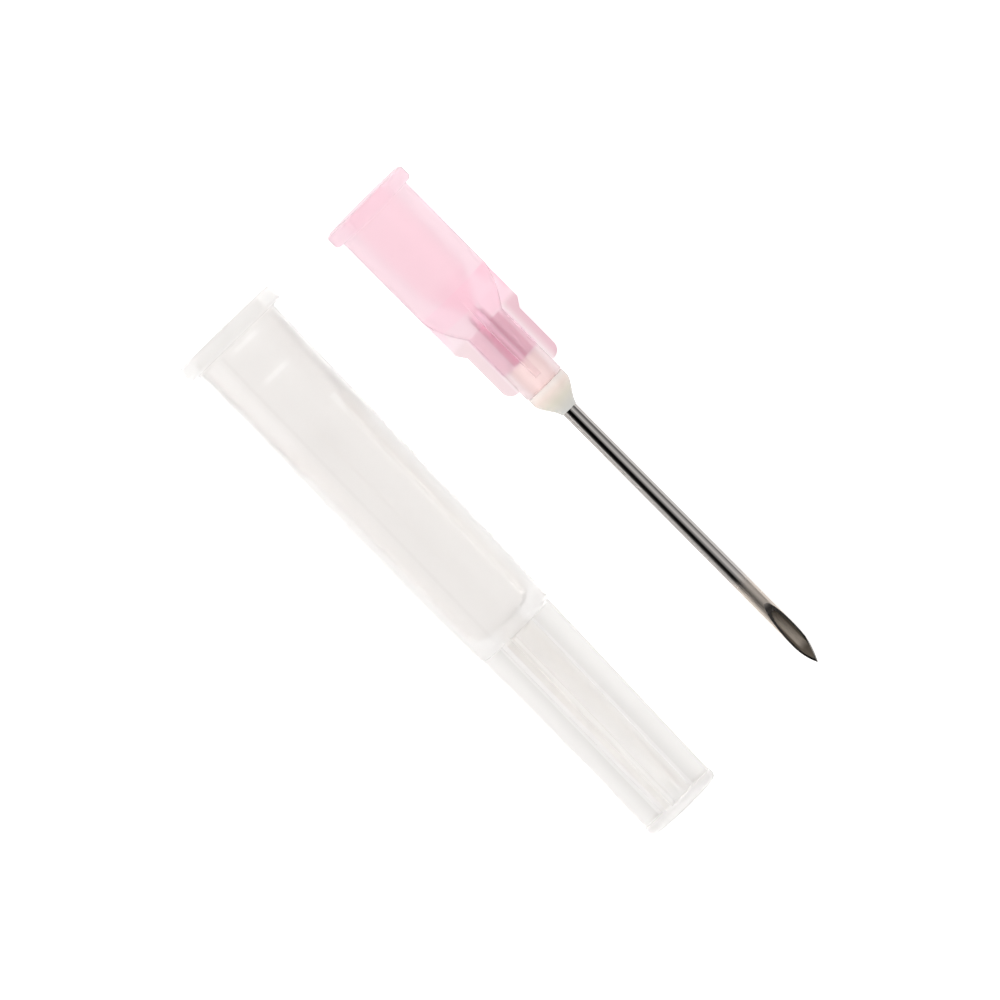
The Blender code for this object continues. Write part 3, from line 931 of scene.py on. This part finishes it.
@dataclass(frozen=True)
class Hub(Piece):
    """The pink moulded hub, from its open end to its nose."""

    node: str = "hub"
    finishes: Finishes = (HUB_PLASTIC,)
    socket_mouth: float = 4.3
    taper: float = 0.06
    wall: float = 1.1
    chamfer: float = 0.2
    socket_depth: float = 8.6
    socket_floor: float = 1.0
    shoulder: float = 3.3
    shoulder_bulge: float = 0.22
    funnel: float = 2.6
    stop: float = 0.4
    lug_span: float = 7.7
    flats: float = 6.6
    flange: float = 1.2
    flange_round: float = 0.3
    fin_thickness: float = 0.5
    rear_fin: float = 3.45
    fin_recess: float = 0.05
    fin_step: float = 0.75
    front_fin_height: float = 0.96
    front_fin: float = 4.45
    front_fin_round: float = 0.85
    nose: float = 0.9
    nose_round: float = 0.15
    core_wall: float = 0.5
    well_radius: float = 1.235
    well_depth: float = 2.55
    channel: float = 0.665
    bore: float = 0.47
    floor_round: float = 0.15
    small_round: float = 0.1
    fin_overlap: float = 0.3
    edge_reach: float = 0.01
    face_point: float = 2.9
    roll: float = math.radians(-3.0)
    segments: int = 160

    @property
    def radius(self) -> float:
        """Outer radius of the socket's wall."""
        return self.socket_mouth / 2 + self.wall

    @property
    def core(self) -> float:
        """Outer radius of the core."""
        return self.well_radius + self.core_wall

    @property
    def tube_end(self) -> float:
        """Height at which the socket's wall ends."""
        return self.socket_depth + self.socket_floor

    @property
    def step(self) -> float:
        """Height at which the fins step down."""
        return self.tube_end + self.rear_fin

    @property
    def fin_end(self) -> float:
        """Height at which the fins end."""
        return self.step + self.fin_step + self.front_fin

    @property
    def nose_end(self) -> float:
        """Height of the nose's front face."""
        return self.fin_end + self.nose

    def body(self) -> Object:
        """Models the turned body: socket, funnel, channel and well, core, shoulder and flange.

        Returns:
            The body.
        """
        curve = self.floor_round
        edge = self.small_round
        mouth = self.socket_mouth / 2
        floor = mouth - self.socket_depth * self.taper / 2
        funnel_end = self.socket_depth + self.funnel
        rear = funnel_end + self.stop
        well = self.nose_end - self.well_depth
        form = Turning("hub_moulding", (mouth + self.chamfer, 0.0), self.segments)
        form.through([(mouth + self.chamfer / 3, self.chamfer / 3), (mouth, self.chamfer)])
        form.through([(floor, self.socket_depth - curve), (floor - curve, self.socket_depth)])
        form.through([(self.bore, funnel_end), (self.bore, rear), (self.channel, rear)])
        form.through([(self.channel, well), (self.well_radius - edge, well)])
        form.through([(self.well_radius, well + edge), (self.well_radius, self.nose_end)])
        small = self.nose_round
        form.through(arc((self.core - small, self.nose_end - small), small, 90.0, 0.0))
        form.through(self.shoulder_curve())
        form.through([(self.radius, self.flange + edge), (self.radius + edge, self.flange)])
        small = self.flange_round
        inset = self.lug_span / 2 - small
        form.through(arc((inset, self.flange - small), small, 90.0, 0.0))
        form.through(arc((inset, small), small, 0.0, -90.0))
        form.through([(mouth + self.chamfer, 0.0)])
        return form.finish()

    def shoulder_curve(self) -> list[Point]:
        """Draws the bulging shoulder from the core back to the socket's wall.

        Returns:
            Pairs of radius and height.
        """

        def at(along: float) -> Point:
            """Gives the point at a share of the way back."""
            straight = self.core + (self.radius - self.core) * along
            bulge = self.shoulder_bulge * math.sin(math.pi * along)
            return (straight + bulge, self.tube_end + self.shoulder * (1 - along))

        return curve(16, at)

    def fin(self, number: int) -> Object:
        """Models one stepped fin.

        Args:
            number: Its place, in quarter turns.

        Returns:
            The fin.
        """
        root = self.core - self.core_wall / 2
        rear = self.radius - self.fin_recess
        front = self.core + self.front_fin_height
        start = self.tube_end - self.fin_overlap
        stations = [
            (start, (self.core + rear) / 2, rear),
            (self.tube_end + self.shoulder, root, rear),
            (self.step, root, rear),
            (self.step + self.fin_step, root, front),
            (self.fin_end, root, front),
        ]
        plate = fin_plate(f"fin_{number}", stations, self.fin_thickness, 0)
        make_active(plate)
        bpy.ops.object.mode_set(mode="EDIT")

        def outer_front(edge: bmesh.types.BMEdge) -> bool:
            """Tells whether the edge is the fin's outer front one."""
            middle = (edge.verts[0].co + edge.verts[1].co) / 2
            return max(abs(middle.x - front), abs(middle.z - self.fin_end)) < self.edge_reach

        select_edges(plate, outer_front)
        bpy.ops.mesh.bevel(offset=self.front_fin_round, segments=8, affect="EDGES")
        bpy.ops.object.mode_set(mode="OBJECT")
        quarter_turns(plate, number)
        return plate

    def flat(self, side: int) -> Object:
        """Models the block that cuts one flat of the flange.

        Args:
            side: -1 or 1.

        Returns:
            The block.
        """
        deselect_objects()
        depth = self.lug_span
        place = (0.0, side * (self.flats + depth) / 2, 0.0)
        bpy.ops.mesh.primitive_cube_add(size=1.0, location=place)
        block = bpy.context.object
        block.scale = (2 * self.lug_span, depth, 4 * self.flange)
        bpy.ops.object.transform_apply(location=True, rotation=False, scale=True)
        return block

    def build(self) -> Object:
        """Models the whole hub.

        Returns:
            The upright piece.
        """
        piece = self.body()
        for number in range(4):
            use_tool(piece, self.fin(number), Join.ADD)
        for side in (-1, 1):
            use_tool(piece, self.flat(side), Join.CUT)
        soften(piece, width=0.05, angle=38.0)
        shade(piece, angle=35.0)
        return piece


@dataclass(frozen=True)
class Adhesive(Piece):
    """The cured plug and bead that hold the cannula in the hub."""

    node: str = "adhesive"
    finishes: Finishes = (CURED_ADHESIVE,)
    inner: float = 0.665
    plug: float = 1.205
    shoulder: float = 1.705
    nose_end: float = 19.15
    well_depth: float = 2.52
    gap: float = 0.03
    length: float = 2.6
    level: float = 0.7
    lip: float = 0.03
    rim_round: float = 0.12
    segments: int = 128

    def slope(self) -> list[Point]:
        """Draws the bead's outer surface, from its full width down to the cannula.

        Returns:
            Pairs of radius and height.
        """
        start = self.nose_end + self.level
        end = self.nose_end + self.length
        thin = self.inner + self.lip

        def at(along: float) -> Point:
            """Gives the point at a share of the way down."""
            fall = (1 + math.cos(math.pi * along)) / 2
            blend = (fall + 1 - along) / 2
            return (thin + (self.shoulder - thin) * blend, start + (end - start) * along)

        return curve(24, at)

    def build(self) -> Object:
        """Models the adhesive.

        Returns:
            The upright piece.
        """
        floor = self.nose_end - self.well_depth
        under = self.nose_end + self.gap
        small = self.rim_round
        form = Turning("adhesive_bead", (self.inner, floor), self.segments)
        form.through([(self.plug, floor), (self.plug, under), (self.shoulder - small, under)])
        form.through(arc((self.shoulder - small, under + small), small, -90.0, 0.0, 5))
        form.through(self.slope())
        form.through([(self.inner, self.nose_end + self.length), (self.inner, floor)])
        piece = form.finish()
        shade(piece, angle=50.0)
        return piece


@dataclass(frozen=True)
class Sheath(Piece):
    """The clear moulded sheath, from its mouth to its closed end."""

    node: str = "sheath"
    finishes: Finishes = (SHEATH_PLASTIC,)
    bore: float = 3.33
    wall: float = 0.51
    flange_width: float = 0.815
    flange: float = 1.33
    flange_round: float = 0.35
    lead_depth: float = 4.7
    lead_step: float = 0.15
    chamfer: float = 0.12
    draft: float = 0.1
    cone_loss: float = 0.2
    cone_length: float = 4.9
    end_wall: float = 1.1
    end_round: float = 0.6
    funnel: float = 1.2
    grip_wall: float = 0.72
    grip: float = 11.93
    vane_length: float = 17.2
    vane_thickness: float = 0.55
    vane_step: float = 0.08
    vane_draft: float = 0.2
    disc: float = 0.8
    disc_lip: float = 0.02
    disc_round: float = 0.45
    sleeve_bore: float = 1.035
    sleeve_wall: float = 0.6
    sleeve_draft: float = 0.12
    rib_width: float = 1.0
    rib_height: float = 0.85
    rib_ramp: float = 2.1
    rib_start: float = 8.9
    length: float = 49.3
    flange_foot: float = 0.12
    sleeve_foot: float = 0.15
    disc_centre: float = 0.5
    roll: float = math.radians(16.0)
    segments: int = 192

    @property
    def radius(self) -> float:
        """Outer radius of the tube at its mouth."""
        return self.bore + self.wall

    @property
    def face_point(self) -> float:
        """Distance of the mouth face's recorded point from the axis."""
        return (self.bore + self.radius + self.flange_width) / 2

    @property
    def tube_end(self) -> float:
        """Height at which the tube ends and the vanes begin."""
        return self.length - self.disc - self.vane_length

    @property
    def cone_start(self) -> float:
        """Height at which the tube starts to narrow."""
        return self.tube_end - self.cone_length

    @property
    def end_radius(self) -> float:
        """Outer radius of the tube at its end."""
        return self.radius - self.draft - self.cone_loss

    def outer(self, height: float) -> float:
        """Works out the outer radius of the tube.

        Args:
            height: Height at which it is asked.

        Returns:
            The radius there.
        """
        if height <= self.cone_start:
            return self.radius - self.draft * height / self.cone_start
        along = (height - self.cone_start) / self.cone_length
        return self.radius - self.draft - self.cone_loss * along

    def moulding(self) -> Object:
        """Models the turned moulding: outer skin first, then the stepped bore.

        Returns:
            The moulding.
        """
        lead = self.bore + self.lead_step
        small = self.flange_round
        inset = self.radius + self.flange_width - small
        mouth = (lead + self.chamfer, 0.0)
        form = Turning("sheath_moulding", mouth, self.segments)
        form.through(arc((inset, small), small, -90.0, 0.0))
        form.through(arc((inset, self.flange - small), small, 0.0, 90.0))
        foot = self.outer(self.flange)
        edge = self.flange_foot
        form.through([(foot + edge, self.flange), (foot, self.flange + edge)])
        form.through([(self.outer(self.cone_start), self.cone_start)])
        small = self.end_round
        form.through(arc((self.end_radius - small, self.tube_end - small), small, 0.0, 90.0))
        sleeve = self.sleeve_bore + self.sleeve_wall
        disc_back = self.length - self.disc
        tip_radius = self.end_radius - self.vane_step - self.vane_draft + self.disc_lip
        edge = self.sleeve_foot
        form.through([(sleeve + edge, self.tube_end), (sleeve, self.tube_end + edge)])
        form.through([(sleeve - self.sleeve_draft, disc_back), (tip_radius, disc_back)])
        small = self.disc_round
        form.through(arc((tip_radius - small, self.length - small), small, 0.0, 90.0))
        form.through([(self.disc_centre, self.length)])
        form.cap()
        form.restart()
        grip = self.outer(self.grip) - self.grip_wall
        funnel_start = self.tube_end - self.end_wall - self.funnel
        wide = self.outer(funnel_start) - self.grip_wall
        form.through([(lead, self.chamfer), (lead, self.lead_depth)])
        form.through([(self.bore, self.lead_depth + self.lead_step), (self.bore, self.grip)])
        form.through([(grip, self.grip + self.bore - grip)])
        form.through(self.funnel_curve((wide, funnel_start)))
        tip = self.sleeve_bore - self.sleeve_draft
        end = self.length - self.disc - self.sleeve_wall
        form.through(arc((0.0, end - tip), tip, 0.0, 80.0, 10))
        form.cap()
        return form.finish()

    def funnel_curve(self, start: Point) -> list[Point]:
        """Draws the rounded step from the grip's bore down to the sleeve's bore.

        Args:
            start: Radius and height at which it starts.

        Returns:
            Pairs of radius and height.
        """
        drop = start[0] - self.sleeve_bore

        def at(along: float) -> Point:
            """Gives the point at a share of the way in."""
            height = start[1] + self.funnel * math.sin(along * math.pi / 2)
            return (self.sleeve_bore + drop * math.cos(along * math.pi / 2), height)

        return curve(12, at)

    def vane(self, number: int) -> Object:
        """Models one outer vane.

        Args:
            number: Its place, in quarter turns.

        Returns:
            The vane.
        """
        root = self.sleeve_bore + self.sleeve_wall * 2 / 3 - self.sleeve_draft
        wide = self.end_radius - self.vane_step
        start = self.tube_end - (self.end_round + self.end_wall) / 2
        end = self.length - self.disc / 2
        stations = [(start, root, wide), (end, root, wide - self.vane_draft)]
        return fin_plate(f"vane_{number}", stations, self.vane_thickness, number)

    def rib(self, number: int) -> Object:
        """Models one inner rib.

        Args:
            number: Its place, in quarter turns.

        Returns:
            The rib.
        """
        end = self.tube_end - self.end_wall / 2
        top = self.bore - self.rib_height
        ramp_end = self.rib_start + self.rib_ramp
        stations = []
        heights = ((self.rib_start, self.bore), (ramp_end, top), (self.cone_start, top), (end, top))
        for height, inner in heights:
            stations.append((height, inner, self.outer(height) - self.wall / 2))
        return fin_plate(f"rib_{number}", stations, self.rib_width, number)

    def build(self) -> Object:
        """Models the whole sheath.

        Returns:
            The upright piece.
        """
        piece = self.moulding()
        for number in range(4):
            use_tool(piece, self.vane(number), Join.ADD)
            use_tool(piece, self.rib(number), Join.ADD)
        soften(piece, width=0.06, angle=38.0)
        shade(piece, angle=35.0)
        return piece


@dataclass(frozen=True)
class Studio:
    """The pale floor, the soft light and the camera."""

    floor_size: float = 3.0
    floor_colour: Colour = (0.95, 0.95, 0.95)
    floor_lift: float = 0.4
    floor_shade: float = 0.2
    world_level: float = 0.72
    view_width: float = 0.07428
    centre: Point = (-0.00111, -0.001046)
    focus_height: float = 0.003
    lens: float = 300.0
    sensor: float = 36.0
    roll: float = math.radians(45.13)
    bands_across: tuple[Point, ...] = (
        *((0.0, 1.0), (0.05, 0.9), (0.12, 0.06), (0.16, 0.0), (0.48, 0.0)),
        *((0.60, 0.35), (0.74, 0.85), (0.84, 0.62), (0.93, 0.22), (1.0, 0.2)),
    )
    bands_along: tuple[Point, ...] = (
        *((0.0, 1.0), (0.66, 1.0), (0.71, 0.05), (0.80, 0.05), (0.92, 1.0)),
    )

    def floor(self) -> None:
        """Lays the floor: paper, lifted to white for the camera and where plastic lies over it."""
        deselect_objects()
        bpy.ops.mesh.primitive_plane_add(size=self.floor_size)
        floor = bpy.context.object
        floor.name = "floor"
        nodes = Nodes("floor_paper")
        nodes.set(Base_Color=self.floor_colour, Roughness=0.9, Specular_IOR_Level=0.0)
        paper = nodes.shader.outputs["BSDF"]
        white = nodes.node("ShaderNodeEmission").outputs["Emission"]
        glow = nodes.node("ShaderNodeEmission", {"Strength": self.floor_lift}).outputs["Emission"]
        lifted = nodes.node("ShaderNodeAddShader", {0: paper, 1: glow}).outputs["Shader"]
        path = nodes.node("ShaderNodeLightPath").outputs
        seen = nodes.choose(path["Is Camera Ray"], paper, lifted)
        under = nodes.choose(self.floor_shade, white, paper)
        inside = nodes.math("GREATER_THAN", path["Transmission Depth"], 0.5)
        nodes.fill(nodes.output.inputs["Surface"], nodes.choose(inside, seen, under))
        floor.data.materials.append(nodes.material)
        floor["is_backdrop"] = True

    def world(self) -> None:
        """Lights the scene from all round, with darker bands for metal to mirror."""
        world = bpy.data.worlds.new("studio")
        bpy.context.scene.world = world
        world.use_nodes = True
        world.node_tree.nodes.clear()
        nodes = Tree(world.node_tree)
        way = nodes.split(nodes.node("ShaderNodeTexCoord").outputs["Generated"])
        across = self.brightness(nodes, way["Y"], self.bands_across)
        along = self.brightness(nodes, way["X"], self.bands_along)
        plain, white, mirrored = (
            nodes.node("ShaderNodeBackground", {"Color": (1.0, 1.0, 1.0), "Strength": strength})
            for strength in (self.world_level, 1.0, nodes.math("MULTIPLY", across, along))
        )
        path = nodes.node("ShaderNodeLightPath").outputs
        inside = nodes.math("GREATER_THAN", path["Transmission Depth"], 0.5)
        outside = nodes.math("LESS_THAN", path["Transmission Depth"], 0.5)
        open_mirror = nodes.math("MULTIPLY", path["Is Glossy Ray"], outside)
        through = nodes.choose(inside, plain.outputs["Background"], white.outputs["Background"])
        seen = nodes.choose(open_mirror, through, mirrored.outputs["Background"])
        nodes.node("ShaderNodeOutputWorld", {"Surface": seen})

    def brightness(self, nodes: Tree, way: Socket, bands: tuple[Point, ...]) -> Socket:
        """Turns one axis of a direction, from -1 to 1, into a brightness."""
        stops = [(position, (level, level, level)) for position, level in bands]
        return nodes.ramp(nodes.range(way, (-1.0, 1.0)), stops, "EASE")

    def lamp(self, name: str, place: Vector, size: float, power: float) -> None:
        """Adds a square soft lamp that looks at the middle of the set.

        Args:
            name: Name of the lamp.
            place: Where it hangs.
            size: Length of its side.
            power: Its power in watts.
        """
        data = bpy.data.lights.new(name, "AREA")
        data.shape = "SQUARE"
        data.size = size
        data.energy = power
        lamp = bpy.data.objects.new(name, data)
        bpy.context.scene.collection.objects.link(lamp)
        lamp.location = place
        lamp.rotation_euler = (-place).to_track_quat("-Z", "Y").to_euler()
        lamp.visible_camera = False
        lamp.visible_glossy = False

    def camera(self) -> None:
        """Looks straight down, with the needle running to the lower right."""
        data = bpy.data.cameras.new("camera")
        data.lens = self.lens
        data.sensor_width = self.sensor
        camera = bpy.data.objects.new("camera", data)
        bpy.context.scene.collection.objects.link(camera)
        height = self.focus_height + self.view_width * self.lens / self.sensor
        camera.location = (*self.centre, height)
        camera.rotation_euler = (0.0, 0.0, self.roll)
        bpy.context.scene.camera = camera

    def build(self) -> None:
        """Sets up the whole studio."""
        self.floor()
        self.world()
        self.lamp("key", Vector((-0.15, -0.35, 0.45)), size=0.35, power=1.2)
        self.lamp("fill", Vector((0.1, 0.4, 0.4)), size=0.35, power=0.5)
        self.camera()
        bpy.context.scene.view_settings.view_transform = "Standard"


def plain(bounds: Iterable[Iterable[float]]) -> Box:
    """Returns a pair of corners as plain lists of numbers."""
    return [[float(value) for value in corner] for corner in bounds]


def main() -> None:
    """Builds the needle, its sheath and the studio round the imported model."""
    logging.basicConfig(level=logging.INFO, format="%(name)s: %(message)s")
    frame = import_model()
    cad = plain(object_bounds())
    hub, sheath = Hub(), Sheath()
    record = frame["record"]
    needle_pose = Pose.from_face(record, "hub_end_face", hub.face_point, math.pi / 2, hub.roll)
    sheath_pose = Pose.from_face(record, "sheath_mouth_face", sheath.face_point, 0.0, sheath.roll)
    for part in (hub, Cannula(), Adhesive()):
        part.dress(part.build(), needle_pose)
    sheath.dress(sheath.build(), sheath_pose)
    Studio().build()
    plain(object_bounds())


if __name__ == "__main__":
    main()
